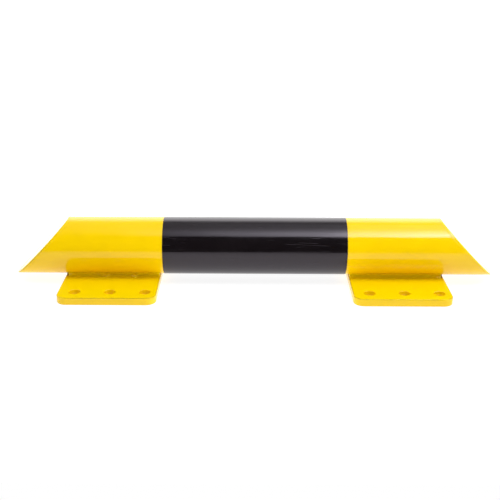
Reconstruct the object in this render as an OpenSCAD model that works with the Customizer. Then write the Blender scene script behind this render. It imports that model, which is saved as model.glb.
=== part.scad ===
// Impact protection beam: a round steel tube with mitred, closed ends, welded on two
// base plates that reach out in front of it, with a black film round its middle.
// X runs along the beam, the plates reach out towards -Y, and Z = 0 is the floor.

/* [Tube] */
// Outside diameter of the tube
tube_d = 76.1; // [60.3:0.1:114.3]
// Wall thickness of the tube
tube_wall = 3; // [2:0.1:6]
// Length of the beam from tip to tip, along its underside
beam_len = 642; // [500:1:2000]
// Angle between an end cut and the tube's axis, in degrees
mitre_angle = 46; // [40:1:60]
// Thickness of the plate that closes an end cut
cap_t = 3; // [2:0.5:6]

/* [Base plates] */
// Length of a base plate along the beam
plate_len = 127; // [120:1:160]
// Thickness of a base plate
plate_t = 10; // [6:0.5:16]
// How far a base plate stands out in front of the tube
plate_lip = 52; // [45:1:90]
// Radius of a base plate's corners
plate_corner_r = 13; // [2:0.5:14]
// How far the tip of the beam reaches out past a base plate
tip_overhang = 68; // [20:1:75]

/* [Fixing holes] */
// Diameter of a fixing hole
hole_d = 14; // [9:0.5:18]
// Number of holes in a base plate
hole_count = 3; // [1:1:3]
// Distance from one hole to the next
hole_pitch = 45; // [30:1:48]
// Distance from the row of holes to the plate's front edge
hole_edge = 20; // [14:0.5:25]
// How far the row of holes sits off the plate's middle, towards +X
hole_shift = 3; // [0:0.5:5]

/* [Black film] */
// Bare yellow tube left between the film and a base plate
film_gap = 5; // [1:0.5:20]
// Thickness of the film
film_t = 0.3; // [0.1:0.05:0.6]
// Length of film that overlaps at its seam
film_lap = 12; // [5:1:30]
// Where the seam lies, in degrees down from the tube's back
film_seam_angle = 50; // [20:1:70]

/* [Welds] */
// Height of the weld's toe on the tube, above the plate
weld_rise = 5; // [4:0.5:8]
// How much further out than its toe on the tube the weld's toe on the plate lies
weld_foot = 1.5; // [0.5:0.1:4]
// How far in from the weld's toe on the plate the weld metal reaches
weld_depth = 12; // [8:0.5:14]
// How far the weld's face bulges
weld_crown = 0.6; // [0.5:0.1:2]
// How far a weld stops short of each end of its plate
weld_stop = 2; // [1:0.5:10]
// Radius to which a weld's ends are rounded, seen from above
weld_end_r = 6; // [3:0.5:12]

/* [Hidden] */
$fn = 128;

yellow = [0.98, 0.8, 0.02];
black = [0.07, 0.07, 0.08];

// Length that a cutting shape runs past what it cuts
spare = 10;

tube_r = tube_d / 2;
tube_bore = tube_d - 2 * tube_wall;
// Length of an end cut, along its slope
cut_len = tube_d / sin(mitre_angle);

plate_depth = tube_d + plate_lip;
plate_mid_x = beam_len / 2 - tip_overhang - plate_len / 2;

film_len = 2 * (plate_mid_x - plate_len / 2 - film_gap);
film_r = tube_r + film_t;
film_lap_angle = film_lap / (2 * PI * film_r) * 360;

// The tube's axis, placed so that the beam's outer box is centred on X and Y
axis_y = (plate_lip - film_t) / 2;
axis_z = plate_t + tube_r;

weld_len = plate_len - 2 * weld_stop;
// The weld's toes, measured from the line where tube and plate touch
weld_tube_toe = sqrt(tube_r ^ 2 - (tube_r - weld_rise) ^ 2);
weld_toe = weld_tube_toe + weld_foot;
weld_face = norm([weld_foot, weld_rise]);
weld_face_r = (weld_face ^ 2 / 4 + weld_crown ^ 2) / (2 * weld_crown);

// Turns a shape that stands on Z into one that lies along X, centred on the tube's axis
module along_tube() {
    translate([0, axis_y, axis_z])
        rotate([0, 90, 0])
            children();
}

// Everything outside the right end cut, moved in by a depth square to the cut
module past_right_cut(depth) {
    translate([beam_len / 2, axis_y, plate_t])
        rotate([0, mitre_angle, 0])
            translate([-cut_len - spare, -tube_r - spare, -depth])
                cube([cut_len + 2 * spare, tube_d + 2 * spare, tube_d + depth + spare]);
}

module past_both_cuts(depth) {
    past_right_cut(depth);
    mirror([1, 0, 0])
        past_right_cut(depth);
}

module beam_tube() {
    color(yellow)
        difference() {
            along_tube()
                cylinder(d = tube_d, h = beam_len + spare, center = true);
            along_tube()
                cylinder(d = tube_bore, h = beam_len + 2 * spare, center = true);
            past_both_cuts(cap_t);
        }
}

// A plate that closes the right end cut, flush with the tube's outside
module right_cap() {
    difference() {
        intersection() {
            along_tube()
                cylinder(d = tube_d, h = beam_len + spare, center = true);
            past_right_cut(cap_t);
        }
        past_right_cut(0);
    }
}

module end_cap_left() {
    color(yellow)
        mirror([1, 0, 0])
            right_cap();
}

module end_cap_right() {
    color(yellow)
        right_cap();
}

// Section of the film: one turn round the tube, with its end stuck over its start
module film_section() {
    seam = 90 - film_seam_angle;
    difference() {
        union() {
            circle(r = film_r);
            intersection() {
                circle(r = film_r + film_t);
                polygon([[0, 0], for (a = [seam, seam + film_lap_angle]) tube_d * [cos(a), sin(a)]]);
            }
        }
        circle(r = tube_r);
    }
}

module black_band() {
    color(black)
        along_tube()
            translate([0, 0, -film_len / 2])
                linear_extrude(film_len)
                    film_section();
}

module rounded_rectangle(size, radius) {
    inner = [size[0] - 2 * radius, size[1] - 2 * radius];
    square([size[0], inner[1]], center = true);
    square([inner[0], size[1]], center = true);
    for (x = [-1, 1], y = [-1, 1])
        translate([x * inner[0] / 2, y * inner[1] / 2])
            circle(r = radius);
}

// A base plate centred on X = 0, its back edge flush with the tube's back
module base_plate() {
    back_y = axis_y + tube_r;
    front_y = back_y - plate_depth;
    difference() {
        translate([0, back_y - plate_depth / 2, 0])
            linear_extrude(plate_t)
                rounded_rectangle([plate_len, plate_depth], plate_corner_r);
        for (i = [0 : hole_count - 1])
            translate([hole_shift + (i - (hole_count - 1) / 2) * hole_pitch, front_y + hole_edge, -spare])
                cylinder(d = hole_d, h = plate_t + 2 * spare);
    }
}

module base_plate_left() {
    color(yellow)
        translate([-plate_mid_x, 0, 0])
            base_plate();
}

module base_plate_right() {
    color(yellow)
        translate([plate_mid_x, 0, 0])
            base_plate();
}

// Section of a weld: X is the distance from the line of contact, Y the height above the plate
module weld_section() {
    lean = atan2(weld_foot, weld_rise);
    middle = [(weld_toe + weld_tube_toe) / 2, weld_rise / 2];
    face_centre = middle - (weld_face_r - weld_crown) * [cos(lean), sin(lean)];
    difference() {
        intersection() {
            union() {
                polygon([[0, 0], [weld_toe, 0], [weld_tube_toe, weld_rise], [0, weld_rise]]);
                translate(face_centre)
                    circle(r = weld_face_r);
            }
            translate([weld_toe - weld_depth, 0])
                square([weld_depth + weld_crown, weld_rise + weld_crown]);
        }
        translate([0, tube_r])
            circle(r = tube_r);
    }
}

// A weld along one plate, centred on X = 0, behind the tube
module rear_weld() {
    translate([0, axis_y, plate_t])
        intersection() {
            translate([-weld_len / 2, 0, 0])
                rotate([90, 0, 90])
                    linear_extrude(weld_len)
                        weld_section();
            linear_extrude(weld_rise + weld_crown)
                rounded_rectangle([weld_len, 2 * (weld_toe + weld_crown)], weld_end_r);
        }
}

// The same weld in front of the tube
module front_weld() {
    translate([0, 2 * axis_y, 0])
        mirror([0, 1, 0])
            rear_weld();
}

module front_weld_left() {
    color(yellow)
        translate([-plate_mid_x, 0, 0])
            front_weld();
}

module front_weld_right() {
    color(yellow)
        translate([plate_mid_x, 0, 0])
            front_weld();
}

module rear_weld_left() {
    color(yellow)
        translate([-plate_mid_x, 0, 0])
            rear_weld();
}

module rear_weld_right() {
    color(yellow)
        translate([plate_mid_x, 0, 0])
            rear_weld();
}

beam_tube();
black_band();
end_cap_left();
end_cap_right();
base_plate_left();
base_plate_right();
front_weld_left();
front_weld_right();
rear_weld_left();
rear_weld_right();
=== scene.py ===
"""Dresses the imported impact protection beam: coated steel, welds, film, studio light and camera.

Lengths are metres in the part's own frame: X along the beam, Z up, and the base plates reach out
towards -Y. A turn round the tube is in radians, from 0 at its back over its top to its front.
"""
import math

import bmesh
import bpy
from mathutils import Matrix, Vector, noise

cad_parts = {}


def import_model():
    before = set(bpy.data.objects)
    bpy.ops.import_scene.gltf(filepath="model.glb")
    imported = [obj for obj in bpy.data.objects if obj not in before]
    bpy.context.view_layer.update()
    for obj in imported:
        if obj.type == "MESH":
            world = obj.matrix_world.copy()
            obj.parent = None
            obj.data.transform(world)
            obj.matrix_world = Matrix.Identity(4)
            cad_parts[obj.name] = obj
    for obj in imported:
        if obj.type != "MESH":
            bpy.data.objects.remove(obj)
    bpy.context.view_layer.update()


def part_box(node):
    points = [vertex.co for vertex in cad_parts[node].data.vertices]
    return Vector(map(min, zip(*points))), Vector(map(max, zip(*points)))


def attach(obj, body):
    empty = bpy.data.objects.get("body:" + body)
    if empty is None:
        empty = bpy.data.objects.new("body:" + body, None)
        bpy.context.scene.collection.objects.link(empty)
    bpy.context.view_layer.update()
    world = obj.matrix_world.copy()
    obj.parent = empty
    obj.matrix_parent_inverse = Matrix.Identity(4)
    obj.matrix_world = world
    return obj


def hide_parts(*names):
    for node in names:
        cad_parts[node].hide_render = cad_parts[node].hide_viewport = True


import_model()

MM = 0.001
SIDES = ("left", "right")

# Sizes that the frame's boxes don't give
MITRE = math.radians(46)
CAP_T = 3 * MM
WALL = 3 * MM
FILM_T = 0.3 * MM
# The turns at which the film's free end lies, and over which it laps its start
FILM_SEAM = math.radians(-50)
FILM_LAP = math.radians(17.9)
CORNER_R = 13 * MM
# A plate's row of holes: how far from its front edge, and how far to the right of its middle
HOLE_R = 7 * MM
HOLE_PITCH = 45 * MM
HOLE_EDGE = 20 * MM
HOLE_SHIFT = 3 * MM
# A weld's section: its height on the tube, how far its toe on the plate is past that on the tube,
# and how far it reaches in under the tube from there
WELD_RISE = 5 * MM
WELD_FOOT = 1.5 * MM
WELD_DEPTH = 12 * MM

# Soft edges that the coating leaves, smaller at a cap's tip, and the shallow joint round a cap
CAP_EDGE_R = 1.5 * MM
CAP_TIP_R = 0.6 * MM
JOINT_R = 0.35 * MM
JOINT_DIP = 0.12 * MM
PLATE_EDGE_R = 1 * MM
HOLE_EDGE_R = 1 * MM

# Facets
TUBE_SIDES = 240
TUBE_STATIONS = 40
FILLET_STEPS = 8
CORNER_STEPS = 12
HOLE_STEPS = 48
# A guard is a row of points close to an edge, no further on than a share of the way across
GUARD = 0.4 * MM
GUARD_SHARE = 1 / 3
# Radii of a cap's rows of points, as shares of the whole
CAP_INSIDE = (0.4, 0.9)
CAP_OUTSIDE = (0.98, 0.9, 0.6, 0.3)

# The film's two edges: places in from the edge, and the share of its thickness that it has there
FILM_EDGE = ((0, 0), (0.02 * MM, 0.7), (0.12 * MM, 1), (0.12 * MM + GUARD, 1))
# Its seam: the sharp step at its free end, with its facets, and the soft one over its start
SEAM_STEP = 0.15 * MM
SEAM_FACET = 0.05 * MM
SEAM_FACETS = range(-1, 6)
SEAM_SLOPE = 1.5 * MM

tube_low, tube_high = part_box("beam_tube")
TUBE_R = (tube_high.z - tube_low.z) / 2
AXIS_Y = (tube_high.y + tube_low.y) / 2
AXIS_Z = (tube_high.z + tube_low.z) / 2
TIP_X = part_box("end_cap_right")[1].x
TURNS = [2 * math.pi * i / TUBE_SIDES for i in range(TUBE_SIDES)]


def add_object(name, data):
    made = bpy.data.objects.new(name, data)
    bpy.context.scene.collection.objects.link(made)
    return made


def skin(name, rings, closed_round=False):
    """A closed mesh object through rings of points. Without closed_round its two ends are fans."""
    count = len(rings[0])
    points = [point for ring in rings for point in ring]
    faces = []
    joins = len(rings) if closed_round else len(rings) - 1
    for i in range(joins):
        here = i * count
        there = (i + 1) % len(rings) * count
        for j in range(count):
            k = (j + 1) % count
            faces.append((here + j, here + k, there + k, there + j))
    if not closed_round:
        for ring, first in ((rings[0], 0), (rings[-1], len(points) - count)):
            points.append(sum(ring, Vector()) / count)
            centre = len(points) - 1
            for j in range(count):
                faces.append((first + j, first + (j + 1) % count, centre))
    mesh = bpy.data.meshes.new(name)
    mesh.from_pydata(points, [], faces)
    return finish_mesh(name, mesh)


def finish_mesh(name, mesh):
    """Turns a closed mesh's faces outwards, shades it smooth and makes it an object."""
    shape = bmesh.new()
    shape.from_mesh(mesh)
    bmesh.ops.recalc_face_normals(shape, faces=shape.faces)
    if shape.calc_volume(signed=True) < 0:
        bmesh.ops.reverse_faces(shape, faces=shape.faces)
    shape.to_mesh(mesh)
    shape.free()
    mesh.shade_smooth()
    return add_object(name, mesh)


def dress(made, slot, node, *materials):
    """Gives a piece its materials, hangs it under the root body and hides the CAD part it stands
    for.
    """
    for material in materials:
        made.data.materials.append(material)
    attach(made, "root")
    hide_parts(node)


def cut_x(z, depth):
    """X of the right end cut at a height, with the cut moved in by a depth square to it."""
    return TIP_X - (z - AXIS_Z + TUBE_R) / math.tan(MITRE) - depth / math.sin(MITRE)


def tube_point(radius, turn, x=0.0):
    return Vector((x, AXIS_Y + radius * math.cos(turn), AXIS_Z + radius * math.sin(turn)))


def cut_ring(radius, depth, side=1):
    """A ring round the tube along an end cut, where side is 1 at the right end, -1 at the left."""
    ring = []
    for turn in TURNS:
        point = tube_point(radius, turn)
        point.x = side * cut_x(point.z, depth)
        ring.append(point)
    return ring


def guard(ring, towards):
    """A ring close to another, so that shading turns between the two and stays even past them."""
    guarded = []
    for here, there in zip(ring, towards):
        gap = there - here
        guarded.append(here + gap * min(GUARD / max(gap.length, GUARD), GUARD_SHARE))
    return guarded


def steel_tube(coat):
    """The tube between the two caps, hollow, with soft edges where the caps are ground flush."""
    left = cut_ring(TUBE_R, CAP_T + JOINT_R, -1)
    right = cut_ring(TUBE_R, CAP_T + JOINT_R)
    rings = [cut_ring(TUBE_R - JOINT_DIP, CAP_T, -1), left, guard(left, right)]
    for i in range(1, TUBE_STATIONS):
        rings.append([a.lerp(b, i / TUBE_STATIONS) for a, b in zip(left, right)])
    rings += [guard(right, left), right, cut_ring(TUBE_R - JOINT_DIP, CAP_T)]
    rings += [cut_ring(TUBE_R - WALL, CAP_T), cut_ring(TUBE_R - WALL, CAP_T, -1)]
    dress(skin("steel_tube", rings, closed_round=True), "yellow_coat", "beam_tube", coat)


def end_cap(side, coat, edge_coat):
    """A plate over an end cut, its outer edge a fillet as a ball rolling along it leaves.

    The half of the fillet that is next to the tube's round has the edge's coat: painted light on
    that edge.
    """
    face = Vector((math.sin(MITRE), 0, math.cos(MITRE)))
    radii = [CAP_EDGE_R + (CAP_TIP_R - CAP_EDGE_R) * max(-math.sin(turn), 0) ** 2 for turn in TURNS]
    rings = [cut_ring(TUBE_R * share, CAP_T) for share in CAP_INSIDE]
    rings.append(cut_ring(TUBE_R - JOINT_DIP, CAP_T))
    joint = cut_ring(TUBE_R, CAP_T - JOINT_R)
    centres = []
    for turn, radius in zip(TURNS, radii):
        centre = tube_point(TUBE_R - radius, turn)
        centre.x = cut_x(centre.z, radius)
        centres.append(centre)
    start = [tube_point(TUBE_R, turn, centre.x) for turn, centre in zip(TURNS, centres)]
    rings += [joint, guard(joint, start), guard(start, joint)]
    first = len(rings)
    for i in range(FILLET_STEPS + 1):
        ring = []
        for turn, radius, centre in zip(TURNS, radii, centres):
            outwards = Vector((0, math.cos(turn), math.sin(turn)))
            ring.append(centre + radius * outwards.slerp(face, i / FILLET_STEPS))
        rings.append(ring)
    rings += [cut_ring((TUBE_R - CAP_EDGE_R) * share, 0) for share in CAP_OUTSIDE]
    if side == "left":
        rings = [[Vector((-p.x, p.y, p.z)) for p in ring] for ring in rings]
    made = skin("cap_" + side, rings)
    for polygon in made.data.polygons:
        row = polygon.index // TUBE_SIDES
        polygon.material_index = int(first <= row < first + FILLET_STEPS // 2)
    dress(made, "yellow_coat", "end_cap_" + side, coat, edge_coat)


def smooth_step(value, low, high):
    share = min(max((value - low) / (high - low), 0), 1)
    return share * share * (3 - 2 * share)


def film_radius(turn, share):
    """Outer radius of the film at a turn, with its free end lapped over its start."""
    angle = (turn + math.pi) % (2 * math.pi) - math.pi
    lap_end = FILM_SEAM + FILM_LAP
    lap = smooth_step(angle, FILM_SEAM, FILM_SEAM + SEAM_STEP / TUBE_R)
    lap -= smooth_step(angle, lap_end - SEAM_SLOPE / TUBE_R, lap_end)
    return TUBE_R + share * FILM_T * (1 + lap)


def film_band(film):
    """The film round the tube's middle, with its seam low at the back."""
    low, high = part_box("black_band")
    seam = [FILM_SEAM + i * SEAM_FACET / TUBE_R for i in SEAM_FACETS]
    turns = sorted(TURNS + [turn % (2 * math.pi) for turn in seam])
    stations = [(low.x + inwards, share) for inwards, share in FILM_EDGE]
    for i in range(1, TUBE_STATIONS):
        stations.append((low.x + (high.x - low.x) * i / TUBE_STATIONS, 1))
    stations += [(high.x - inwards, share) for inwards, share in reversed(FILM_EDGE)]
    rings = []
    for x, share in stations:
        rings.append([tube_point(film_radius(turn, share), turn, x) for turn in turns])
    dress(skin("film_band", rings, closed_round=True), "black_film", "black_band", film)


def circle_point(x, y, z, radius, turn):
    return Vector((x + radius * math.cos(turn), y + radius * math.sin(turn), z))


def rounded_outline(low, high, inset, z):
    """A rounded rectangle seen from above, moved in by an inset."""
    corners = ((high.x, high.y), (low.x, high.y), (low.x, low.y), (high.x, low.y))
    points = []
    for quarter, (x, y) in enumerate(corners):
        centre_x = x - math.copysign(CORNER_R, x - (low.x + high.x) / 2)
        centre_y = y - math.copysign(CORNER_R, y - (low.y + high.y) / 2)
        for i in range(CORNER_STEPS + 1):
            turn = (quarter + i / CORNER_STEPS) * math.pi / 2
            points.append(circle_point(centre_x, centre_y, z, CORNER_R - inset, turn))
    return points


def hole_outline(x, y, inset, z):
    """A hole's circle, widened by an inset from its wall."""
    turns = [2 * math.pi * i / HOLE_STEPS for i in range(HOLE_STEPS)]
    return [circle_point(x, y, z, HOLE_R + inset, turn) for turn in turns]


def edge_profile(low_z, high_z, radius):
    """Insets and heights down a wall with two rounded edges and a flat margin at both ends."""
    profile = [(radius + GUARD, high_z)]
    for i in range(FILLET_STEPS + 1):
        turn = math.pi / 2 * i / FILLET_STEPS
        inset = radius - radius * math.sin(turn)
        profile.append((inset, high_z - radius + radius * math.cos(turn)))
    lower = [(inset, low_z + high_z - z) for inset, z in profile]
    return profile + lower[::-1]


def base_plate(side, top_coat, edge_coat, wall_coat):
    """A flat plate with rounded corners and three holes, its edges softened by the coating.

    The fillet round its top has the edge's coat, which makes it a darker line, and its walls and
    holes have the wall's. The top's coat is a copy less red than the walls': painted light, for the
    stronger light on the top.
    """
    low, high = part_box("base_plate_" + side)
    middle = (low.x + high.x) / 2 + HOLE_SHIFT
    outer = edge_profile(low.z, high.z, PLATE_EDGE_R)
    inner = edge_profile(low.z, high.z, HOLE_EDGE_R)
    walls = [[rounded_outline(low, high, inset, z) for inset, z in outer]]
    for i in (-1, 0, 1):
        x = middle + i * HOLE_PITCH
        walls.append([hole_outline(x, low.y + HOLE_EDGE, inset, z) for inset, z in inner])
    shape = bmesh.new()
    top_edges, bottom_edges = [], []
    for number, rings in enumerate(walls):
        rows = [[shape.verts.new(point) for point in ring] for ring in rings]
        count = len(rows[0])
        for i, (upper, lower) in enumerate(zip(rows, rows[1:])):
            for j in range(count):
                k = (j + 1) % count
                face = shape.faces.new((upper[j], lower[j], lower[k], upper[k]))
                if i > 0:
                    face.material_index = 1 if number == 0 and i <= FILLET_STEPS else 2
        for edges, row in ((top_edges, rows[0]), (bottom_edges, rows[-1])):
            edges += [shape.edges.get((row[j], row[(j + 1) % count])) for j in range(count)]
    for edges in (top_edges, bottom_edges):
        bmesh.ops.triangle_fill(shape, edges=edges, use_beauty=True)
    mesh = bpy.data.meshes.new("plate_" + side)
    shape.to_mesh(mesh)
    shape.free()
    made = finish_mesh("plate_" + side, mesh)
    dress(made, "yellow_coat", "base_plate_" + side, top_coat, edge_coat, wall_coat)


# Welds: how far apart their sections are, and the ripples and the crown of their faces
SECTION_PITCH = 0.33 * MM
RIPPLE_PITCH = 2.6 * MM
RIPPLE_HEIGHT = 0.06 * MM
# How far a ripple bows along the weld and strays, in pitches, and about the mean of its arches
RIPPLE_BOW = 0.8
RIPPLE_STRAY = 0.3
RIPPLE_MEAN = 0.6
WELD_CROWN = 0.2 * MM
# A weld's toes are rounded over this length, or over a share of its height where that is less
WELD_FILLET = 1.5 * MM
FILLET_SHARE = 0.3
WELD_WANDER = 0.3 * MM
# Irregularities along a weld, in its toe, its height and its ripples: the length of each, and a
# number that sets its course apart from the other two
TOE_WAVE = (9 * MM, 0)
RISE_WAVE = (7 * MM, 7)
RIPPLE_WAVE = (8 * MM, 3)
# What sets the courses of the left welds apart, and a step from there to the right ones
SEEDS = {"front": 11.3, "rear": 31.7}
SEED_STEP = 5
# Lumps where a weld was stopped and started again: their places from the plate's middle in
# millimetres, and their size
LUMPS = {
    "front_left": (-8.5, 29.5), "front_right": (57,),
    "rear_left": (-24, 17), "rear_right": (-12, 36)}
LUMP_HALF_LENGTH = 3 * MM
LUMP_REACH = 4 * MM
LUMP_BULGE = 0.8 * MM
# How far a weld's end is rounded, how far its inner end runs on, and the gap past its outer end,
# coloured dark brown as painted shade of the crevice there, with the sliver of a step down to it
END_ROUND = 1.5 * MM
INNER_REACH = 1 * MM
GAP_LENGTH = 2 * MM
GAP_DEPTH = 3.5 * MM
SLIVER = 0.01 * MM
# The least that a weld's toe on the plate is out past its toe on the tube
LEAST_FOOT = 0.4 * MM
# Facets in a weld's section: each rounded toe, the face, and the seat on the tube
TOE_STEPS = 5
FACE_STEPS = 10
SEAT_STEPS = 6


def reach_at(height):
    """How far from the contact line the tube's round is at a height over the plate."""
    return math.sqrt(TUBE_R ** 2 - (TUBE_R - height) ** 2)


def height_at(reach):
    """How high over the plate the tube's round is at a distance from the contact line."""
    return TUBE_R - math.sqrt(TUBE_R ** 2 - reach ** 2)


WELD_TOE = reach_at(WELD_RISE) + WELD_FOOT


def wander(x, seed, wave):
    """A smooth, repeatable irregularity between about -1 and 1 along the weld."""
    length, apart = wave
    return 2 * noise.noise(Vector((x / length, seed + apart, 0.5)))


def rounded(start, corner, end, share):
    """A place on the curve that rounds a corner, a share of the way from its start to its end."""
    return start.lerp(corner, share).lerp(corner.lerp(end, share), share)


def weld_section(x, start, end, seed, lumps):
    """Points round a weld's section at X: distance from the contact line, height on the plate."""
    from_end = min(x - start, end - x)
    back = 0.0
    if from_end < 0:
        back = GAP_DEPTH
    elif from_end < END_ROUND:
        back = END_ROUND - math.sqrt(END_ROUND ** 2 - (END_ROUND - from_end) ** 2)
    lump = sum(math.exp(-((x - lump_x) / LUMP_HALF_LENGTH) ** 2) for lump_x in lumps)
    toe = WELD_TOE + WELD_WANDER * wander(x, seed, TOE_WAVE) + (lump * LUMP_REACH - back)
    rise = WELD_RISE + WELD_WANDER * wander(x, seed, RISE_WAVE)
    tube_toe = min(reach_at(rise), toe - LEAST_FOOT)
    rise = height_at(tube_toe)
    low_toe = Vector((toe, 0))
    high_toe = Vector((tube_toe, rise))
    along = (high_toe - low_toe).normalized()
    out = Vector((along.y, -along.x))
    tangent = Vector((TUBE_R - rise, tube_toe)).normalized()
    fillet = min(WELD_FILLET, FILLET_SHARE * rise)
    first = low_toe + fillet * along
    last = high_toe - fillet * along
    points = []
    for i in range(TOE_STEPS):
        points.append(rounded(low_toe + Vector((fillet, 0)), low_toe, first, i / TOE_STEPS))
    stray = RIPPLE_STRAY * wander(x, seed, RIPPLE_WAVE)
    for i in range(FACE_STEPS + 1):
        share = i / FACE_STEPS
        ripple_at = x / RIPPLE_PITCH + RIPPLE_BOW * (share - 0.5) ** 2 + stray
        ripple = RIPPLE_HEIGHT * (abs(math.sin(math.pi * ripple_at)) - RIPPLE_MEAN)
        bulge = math.sin(math.pi * share) * (WELD_CROWN + lump * LUMP_BULGE + ripple)
        points.append(first.lerp(last, share) + bulge * out)
    for i in range(1, TOE_STEPS + 1):
        points.append(rounded(last, high_toe, high_toe + fillet * tangent, i / TOE_STEPS))
    inner = WELD_TOE - WELD_DEPTH
    for i in range(1, SEAT_STEPS + 1):
        reach = tube_toe + (inner - tube_toe) * i / SEAT_STEPS
        points.append(Vector((reach, height_at(reach))))
    points.append(Vector((inner, 0)))
    return points


def weld(row, side, seed, coat, gap_shade):
    """A weld between tube and plate, in front of the tube or behind it.

    It has ripples and lumps, and past its outer end a sunken gap in a dark brown that paints the
    crevice's shade.
    """
    node = row + "_weld_" + side
    low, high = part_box(node)
    facing = -1 if row == "front" else 1
    if side == "left":
        start, end = low.x + GAP_LENGTH, high.x + INNER_REACH
        gap_before, gap_after = [low.x, start - SLIVER], []
    else:
        start, end = low.x - INNER_REACH, high.x - GAP_LENGTH
        gap_before, gap_after = [], [end + SLIVER, high.x]
    count = round((end - start) / SECTION_PITCH)
    stations = [start + (end - start) * i / count for i in range(count + 1)]
    lumps = [(low.x + high.x) / 2 + place * MM for place in LUMPS[row + "_" + side]]
    rings = []
    for x in gap_before + stations + gap_after:
        section = weld_section(x, start, end, seed, lumps)
        rings.append([Vector((x, AXIS_Y + facing * p.x, AXIS_Z - TUBE_R + p.y)) for p in section])
    made = skin("bead_" + row + "_" + side, rings)
    # Faces in the gap past the outer end take the dark brown of painted shade
    for polygon in made.data.polygons:
        polygon.material_index = int(not start - SLIVER < polygon.center.x < end + SLIVER)
    dress(made, "yellow_coat", node, coat, gap_shade)


# Materials
# One yellow coat, in copies on the tube, on the plates' tops, on the welds and on dark edges: the
# two
# ends of its colour, and the tint of its gloss. Apart from the tube's, the copies' colours paint
# light:
# the plates' copy is less red for the stronger light on their tops, the welds' copy is paler to
# lift the shade in the groove, and the dark edge copy darkens the plates' top edges and paints a
# dark reflection on the left cap's edge.
COATS = {
    "tube": ((0.91, 0.6, 0.0003), (0.94, 0.62, 0.0005), (1, 0.72, 1)),
    "plate": ((0.86, 0.63, 0.0003), (0.89, 0.65, 0.0005), (1, 0.72, 1)),
    "weld": ((0.94, 0.7, 0.0003), (0.97, 0.73, 0.0005), (1, 0.92, 0.45)),
    "dark_edge": ((0.6, 0.4, 0.0003), (0.74, 0.5, 0.0005), (1, 0.92, 0.45))}
# Scratches in the film, each from one place to another in X and Z on the tube's front
SCRATCHES = (
    ((0.036, 0.0634), (0.101, 0.0611)),
    ((-0.1208, 0.0614), (-0.1096, 0.0614)),
    ((0.055, 0.065), (0.084, 0.0641)))
SCRATCH_COURSE = ((0, 0), (0.15, 1), (0.5, 0.5), (0.8, 1), (1, 0))
SCRATCH_HALF_WIDTH = 0.22 * MM
SCRATCH_ROUGHNESS = 0.45
# The range that most of a noise pattern is in, and the top of it, where the film is scuffed
NOISE_RANGE = (0.3, 0.7)
NOISE_TOP = (0.62, 0.72)


def grey(level):
    return (level, level, level, 1)


def feed(tree, socket, value):
    """Gives an input a plain value, or links another node's output to it."""
    if isinstance(value, bpy.types.NodeSocket):
        tree.links.new(value, socket)
    else:
        socket.default_value = value


def add_node(tree, kind, inputs, output=0, **settings):
    """Adds a node with its settings and inputs, and gives one of its outputs."""
    made = tree.nodes.new(kind)
    for name, setting in settings.items():
        setattr(made, name, setting)
    for key, value in inputs.items():
        feed(tree, made.inputs[key], value)
    return made.outputs[output]


def new_material(name):
    made = bpy.data.materials.new(name)
    made.use_nodes = True
    return made, made.node_tree


def set_surface(tree, inputs):
    """Gives the inputs of a material's own shader."""
    shader = tree.nodes["Principled BSDF"]
    for name, value in inputs.items():
        feed(tree, shader.inputs[name], value)


def arithmetic(tree, operation, first, second=0, clamped=False):
    """A Math node on two values, each a number or a socket."""
    return add_node(
        tree, "ShaderNodeMath", {0: first, 1: second}, operation=operation, use_clamp=clamped)


def map_range(tree, value, source, target=(0, 1)):
    """A value moved from one range to another, each given by its two ends."""
    return add_node(tree, "ShaderNodeMapRange", {
        "Value": value, "From Min": source[0], "From Max": source[1],
        "To Min": target[0], "To Max": target[1]}, "Result")


def ramp(tree, value, stops):
    """A value's course through stops, each a place between 0 and 1 and the number there."""
    made = tree.nodes.new("ShaderNodeValToRGB")
    elements = made.color_ramp.elements
    for place, _ in stops[1:-1]:
        elements.new(place)
    for element, (place, number) in zip(elements, stops):
        element.position = place
        element.color = grey(number)
    tree.links.new(value, made.inputs[0])
    return made.outputs["Color"]


def split_xyz(tree, vector):
    split = add_node(tree, "ShaderNodeSeparateXYZ", {0: vector}).node
    return [split.outputs[axis] for axis in "XYZ"]


def place_on_object(tree):
    return add_node(tree, "ShaderNodeTexCoord", {}, "Object")


def noise_at(tree, size, detail=2, stretch=(1, 1, 1)):
    """A noise pattern whose features are about a given size in metres."""
    shares = [1 / (size * share) for share in stretch]
    scaled = add_node(
        tree, "ShaderNodeVectorMath", {0: place_on_object(tree), 1: shares}, operation="MULTIPLY")
    return add_node(
        tree, "ShaderNodeTexNoise", {"Vector": scaled, "Scale": 1, "Detail": detail}, "Fac")


def cloudy_colour(tree, size, first, second):
    """A colour that drifts between two, over features of a given size."""
    cloud = map_range(tree, noise_at(tree, size), NOISE_RANGE)
    inputs = {"Factor": cloud, "A": (*first, 1), "B": (*second, 1)}
    return add_node(tree, "ShaderNodeMix", inputs, "Result", data_type="RGBA")


def bump(tree, height, depth, under=None):
    """A bump of a given depth in metres, on top of another one where there is one."""
    inputs = {"Distance": depth, "Height": height}
    if under:
        inputs["Normal"] = under
    return add_node(tree, "ShaderNodeBump", inputs, "Normal")


def yellow_coat(name, deep, pale, tint):
    """Thick glossy plastic: a fine orange peel over slow waves, and hardly any change of colour."""
    made, tree = new_material(name + "_coat")
    gloss = noise_at(tree, size=8 * MM, detail=3)
    waves = bump(tree, noise_at(tree, size=14 * MM, detail=1), depth=30e-6)
    set_surface(tree, {
        "Base Color": cloudy_colour(tree, 30 * MM, deep, pale),
        "Roughness": map_range(tree, gloss, NOISE_RANGE, (0.09, 0.14)),
        "Normal": bump(tree, noise_at(tree, size=2.2 * MM, detail=1), depth=7e-6, under=waves),
        "IOR": 1.46,
        "Specular Tint": (*tint, 1),
    })
    return made


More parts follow.
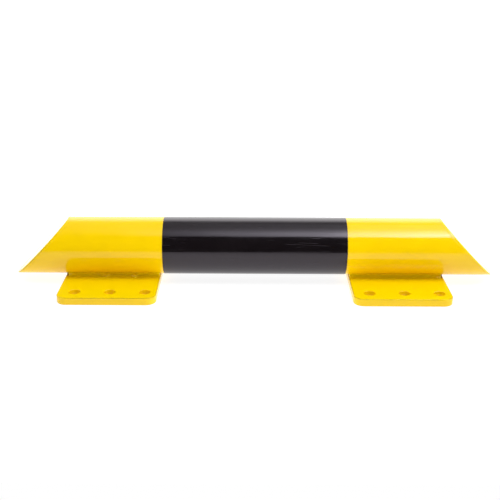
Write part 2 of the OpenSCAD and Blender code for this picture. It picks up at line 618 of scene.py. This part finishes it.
def painted_gap_shade():
    """Painted shade: an uneven dark brown for the gaps at the welds' ends, in place of the shade in
    the crevice between tube and plate.
    """
    made, tree = new_material("painted_gap_shade")
    set_surface(tree, {
        "Base Color": cloudy_colour(tree, 1 * MM, (0.1, 0.055, 0.002), (0.16, 0.095, 0.004)),
        "Roughness": 0.8,
        "Specular IOR Level": 0.02,
    })
    return made


def scratch(tree, start, end):
    """1 on a hair-thin line between two places on the tube's front, fading at its ends; else 0."""
    x, y, z = split_xyz(tree, place_on_object(tree))
    run, fall = end[0] - start[0], end[1] - start[1]
    along = arithmetic(tree, "DIVIDE", arithmetic(tree, "SUBTRACT", x, start[0]), run)
    level = arithmetic(tree, "ADD", arithmetic(tree, "MULTIPLY", along, fall), start[1])
    off_line = arithmetic(tree, "ABSOLUTE", arithmetic(tree, "SUBTRACT", z, level))
    near_line = arithmetic(tree, "LESS_THAN", off_line, SCRATCH_HALF_WIDTH)
    in_front = arithmetic(tree, "LESS_THAN", y, AXIS_Y)
    on_line = arithmetic(tree, "MULTIPLY", near_line, in_front)
    return arithmetic(tree, "MULTIPLY", ramp(tree, along, SCRATCH_COURSE), on_line)


def black_film():
    """Glossy film, drawn lengthwise: gloss, draw lines and faint scuffs all run along the tube."""
    made, tree = new_material("black_film")
    streaks = noise_at(tree, size=1.6 * MM, detail=3, stretch=(40, 1, 1))
    scuffs = noise_at(tree, size=2.4 * MM, detail=2, stretch=(16, 1, 1))
    rough = arithmetic(
        tree, "ADD", map_range(tree, streaks, NOISE_RANGE, (0.08, 0.19)),
        map_range(tree, scuffs, NOISE_TOP, (0, 0.16)))
    for start, end in SCRATCHES:
        scored = arithmetic(tree, "MULTIPLY", scratch(tree, start, end), SCRATCH_ROUGHNESS)
        rough = arithmetic(tree, "ADD", rough, scored)
    waves = bump(tree, noise_at(tree, size=18 * MM, detail=1, stretch=(3, 1, 1)), depth=40e-6)
    lines = noise_at(tree, size=4 * MM, detail=1, stretch=(25, 1, 1))
    lines = bump(tree, lines, depth=40e-6, under=waves)
    set_surface(tree, {
        "Base Color": cloudy_colour(
            tree, 20 * MM, (0.0044, 0.003, 0.0036), (0.0062, 0.0044, 0.0052)),
        "Roughness": rough,
        "Normal": bump(tree, streaks, depth=8e-6, under=lines),
        "IOR": 1.58,
        "Specular Tint": (1, 0.9, 0.99, 1),
    })
    return made


# Studio
FLOOR_FRONT = -0.43
FLOOR_REACH = 6.0
# How far under the plates' edges the covered part of the table starts
COVER_INSET = 5 * MM
# What shows of the white table to the camera and in mirrors: its glow at places from front to
# back, the least of it that the camera sees, and a matt share that takes the beam's shadow
TABLE_GLOW = (
    (-0.43, 0.27), (-0.25, 0.5), (-0.12, 0.72), (0, 0.85), (0.07, 0.85), (0.13, 1.2), (0.6, 1.3))
TABLE_PLAIN = 0.8
TABLE_SHADED = 0.33
COVERED_WHITE = 0.7
COVERED_GLOW = 0.2
# The same table as it lights the beam, and between the plates, where it is brightest
TABLE_LIGHT = 0.5
MIDDLE_LIGHT = 1.1
TABLE_WHITE = 0.6
# The dome's light on the beam, and its white where it shows
DOME = (0.8, 1)
# A dark curtain past the table's front edge, and a ceiling from there over the beam: how far they
# reach to each side, and how pale the ceiling is at places from front to back
CURTAIN_Y = -1.6
CURTAIN_LOW = -0.25
CURTAIN_REACH = 0.95
CURTAIN_GREY = 0.01
CEILING_Z = 2.2
CEILING_REACH = 2.2
CEILING = ((CURTAIN_Y, 0.02), (-0.87, 0.18), (-0.5, 0.33), (-0.15, 0.4), (0.23, 0.38), (1.6, 0.4))
# The strip softbox: its middle along the beam, how high it stands, how far off, and its size
STRIP_X = 0.14
STRIP_RISE = math.radians(80)
STRIP_DISTANCE = 1.8
STRIP_SIZE = (1.4, 2.1)
STRIP_TINT = (0.96, 1, 1.06)
# Its radiance from its left end to its right one, and the share of that from front to back
ALONG_STRIP = (
    (0, 0), (0.09, 0.3), (0.16, 0.9), (0.24, 1), (0.33, 1.9), (0.42, 2.2), (0.52, 3), (0.61, 2.9),
    (0.65, 5.8), (0.75, 6.4), (0.82, 8.6), (0.95, 8.6))
ACROSS_STRIP = (
    (0, 0.8), (0.1, 1), (0.32, 1), (0.455, 0.65), (0.59, 0.28), (0.78, 0.1), (1, 0.1))
# What the other lamps point at
AIM = Vector((0, 0, 0.05))


def seen_directly(tree):
    """1 for a ray that shows what it meets: straight from the camera, mirrored or refracted."""
    path = add_node(tree, "ShaderNodeLightPath", {}).node
    total = path.outputs["Is Camera Ray"]
    for name in ("Is Glossy Ray", "Is Transmission Ray"):
        total = arithmetic(tree, "ADD", total, path.outputs[name], clamped=True)
    return total


def sheet_mesh(name, corners, faces=((0, 1, 2, 3),)):
    mesh = bpy.data.meshes.new(name)
    mesh.from_pydata(corners, [], faces)
    made = add_object(name, mesh)
    return made


def along_y(tree, course):
    """A number's course from front to back, given at places on Y."""
    near, far = course[0][0], course[-1][0]
    y = split_xyz(tree, place_on_object(tree))[1]
    stops = [((place - near) / (far - near), number) for place, number in course]
    return ramp(tree, map_range(tree, y, (near, far)), stops)


def glowing_matt(tree, strength, white):
    """A matt white with a glow of its own."""
    glow = add_node(tree, "ShaderNodeEmission", {"Strength": strength})
    matt = add_node(tree, "ShaderNodeBsdfDiffuse", {"Color": grey(white)})
    return add_node(tree, "ShaderNodeAddShader", {0: glow, 1: matt})


def white_table(name, light):
    """The table's white: it lights the beam, and is a clean ground to the camera and mirrors."""
    made, tree = new_material(name)
    tree.nodes.clear()
    camera_ray = add_node(tree, "ShaderNodeLightPath", {}, "Is Camera Ray")
    least = arithmetic(tree, "MULTIPLY", camera_ray, TABLE_PLAIN)
    shown = arithmetic(tree, "MAXIMUM", along_y(tree, TABLE_GLOW), least)
    both = add_node(tree, "ShaderNodeMixShader", {
        0: seen_directly(tree),
        1: glowing_matt(tree, light, TABLE_WHITE),
        2: glowing_matt(tree, shown, TABLE_SHADED),
    })
    feed(tree, tree.nodes.new("ShaderNodeOutputMaterial").inputs["Surface"], both)
    return made


def covered_white():
    """The same table where a plate covers it, which only its holes show."""
    made, tree = new_material("covered_white")
    set_surface(tree, {
        "Base Color": grey(COVERED_WHITE),
        "Roughness": 1,
        "Emission Color": grey(1),
        "Emission Strength": COVERED_GLOW,
    })
    return made


def floor():
    """A white table that ends a little in front of the beam.

    It is bright between the plates and up to its front edge there, and dim where a plate covers it.
    """
    reach = FLOOR_REACH / 2
    plates = [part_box("base_plate_" + side) for side in SIDES]
    (left_low, left_high), (right_low, _) = plates
    across = [-reach]
    for low, high in plates:
        across += [low.x + COVER_INSET, high.x - COVER_INSET]
    across.append(reach)
    deep = [
        FLOOR_FRONT, left_low.y + COVER_INSET, left_high.y - COVER_INSET, FLOOR_FRONT + FLOOR_REACH]
    corners = [(x, y, 0) for y in deep for x in across]
    faces = []
    for row in range(len(deep) - 1):
        for column in range(len(across) - 1):
            first = row * len(across) + column
            faces.append((first, first + 1, first + 1 + len(across), first + len(across)))
    table = sheet_mesh("table", corners, faces)
    table.data.materials.append(white_table("white_table", TABLE_LIGHT))
    table.data.materials.append(covered_white())
    table.data.materials.append(white_table("table_middle", MIDDLE_LIGHT))
    for polygon in table.data.polygons:
        x, y, _ = polygon.center
        if any(low.x < x < high.x and low.y < y < high.y for low, high in plates):
            polygon.material_index = 1
        elif y < left_high.y and abs(x) < right_low.x:
            polygon.material_index = 2


def dark_room():
    """A dark curtain in front of the table and a ceiling over it, both unseen by the camera."""
    dark, tree = new_material("dark_room")
    set_surface(tree, {"Base Color": grey(CURTAIN_GREY), "Roughness": 1})
    pale, tree = new_material("ceiling")
    set_surface(tree, {"Base Color": along_y(tree, CEILING), "Roughness": 1})
    foot, head, back = (CURTAIN_Y, CURTAIN_LOW), (CURTAIN_Y, CEILING_Z), (CEILING[-1][0], CEILING_Z)
    for name, material, reach, first, second in (
            ("curtain", dark, CURTAIN_REACH, foot, head),
            ("ceiling", pale, CEILING_REACH, head, back)):
        corners = ((-reach, *first), (reach, *first), (reach, *second), (-reach, *second))
        sheet = sheet_mesh(name, corners)
        sheet.data.materials.append(material)
        sheet.visible_camera = False


def world():
    """A white dome: plain soft light, and a white background to whatever shows it."""
    made = bpy.data.worlds.new("dome")
    bpy.context.scene.world = made
    made.use_nodes = True
    tree = made.node_tree
    sky = tree.nodes["Background"]
    sky.inputs["Color"].default_value = grey(1)
    feed(tree, sky.inputs["Strength"], map_range(tree, seen_directly(tree), (0, 1), DOME))


def area_lamp(name, size, radiance):
    """A rectangular lamp that the camera doesn't see, not yet in its place."""
    data = bpy.data.lights.new(name, "AREA")
    data.shape = "RECTANGLE"
    data.size, data.size_y = size
    data.energy = radiance * math.pi * size[0] * size[1]
    lamp = add_object(name, data)
    lamp.rotation_mode = "QUATERNION"
    lamp.visible_camera = False
    return lamp


def softbox(name, azimuth, elevation, distance, size, radiance, mirrored=True):
    """A lamp round the beam. Azimuth 0 is straight in front of it and 90 is to its right."""
    a, e = math.radians(azimuth), math.radians(elevation)
    towards = Vector((math.sin(a) * math.cos(e), -math.cos(a) * math.cos(e), math.sin(e)))
    lamp = area_lamp(name, size, radiance)
    lamp.location = AIM + distance * towards
    lamp.rotation_quaternion = towards.to_track_quat("Z", "Y")
    lamp.visible_glossy = mirrored


def strip_softbox():
    """A long softbox above the beam, dim at its left end and hot at its right, mostly in front."""
    lamp = area_lamp("strip_softbox", STRIP_SIZE, 1)
    lamp.data.color = STRIP_TINT
    lamp.data.use_nodes = True
    tree = lamp.data.node_tree
    x, y, _ = split_xyz(tree, add_node(tree, "ShaderNodeNewGeometry", {}, "Parametric"))
    radiance = arithmetic(
        tree, "MULTIPLY", ramp(tree, x, ALONG_STRIP), ramp(tree, y, ACROSS_STRIP))
    feed(tree, tree.nodes["Emission"].inputs["Strength"], radiance)
    lamp.location = (
        STRIP_X, AXIS_Y - STRIP_DISTANCE * math.cos(STRIP_RISE),
        AXIS_Z + STRIP_DISTANCE * math.sin(STRIP_RISE))
    lamp.rotation_quaternion = Matrix.Rotation(STRIP_RISE - math.pi / 2, 3, "X").to_quaternion()


def camera():
    """The photograph's camera, from a fit of its outlines, with turns in radians."""
    photo_width, focal_in_pixels, sensor = 500, 858.7, 36
    place = (-0.00888, -1.05337, 0.45788)
    yaw, pitch, roll = 0.00234, 0.36831, 0.00579
    data = bpy.data.cameras.new("camera")
    data.sensor_width = sensor
    data.lens = sensor * focal_in_pixels / photo_width
    turn = (
        Matrix.Rotation(-yaw, 4, "Z") @ Matrix.Rotation(math.pi / 2 - pitch, 4, "X")
        @ Matrix.Rotation(roll, 4, "Z"))
    eye = add_object("camera", data)
    eye.matrix_world = Matrix.Translation(place) @ turn
    bpy.context.scene.camera = eye


coats = {name: yellow_coat(name, *COATS[name]) for name in COATS}
# The welds' end gaps get a dark brown that is painted shade
gap_shade = painted_gap_shade()
steel_tube(coats["tube"])
film_band(black_film())
# The caps' edge fillets take colours that paint light: the left one's dark edge coat is a painted
# dark reflection, and the right one's plate coat, paler than the tube's, is a painted highlight
# along it
for number, (side, cap_edge) in enumerate(zip(SIDES, ("dark_edge", "plate"))):
    end_cap(side, coats["tube"], coats[cap_edge])
    base_plate(side, coats["plate"], coats["dark_edge"], coats["tube"])
    for row, seed in SEEDS.items():
        weld(row, side, seed + SEED_STEP * number, coats["weld"], gap_shade)
floor()
dark_room()
world()
strip_softbox()
softbox("key_right", azimuth=62, elevation=50, distance=2, size=(0.9, 0.9), radiance=5.4)
softbox(
    "fill_left", azimuth=-66, elevation=50, distance=2, size=(0.9, 0.9), radiance=2.6,
    mirrored=False)
softbox("backdrop_light", azimuth=180, elevation=25, distance=2.2, size=(5, 1.6), radiance=1.1)
camera()
bpy.context.scene.view_settings.view_transform = "Standard"
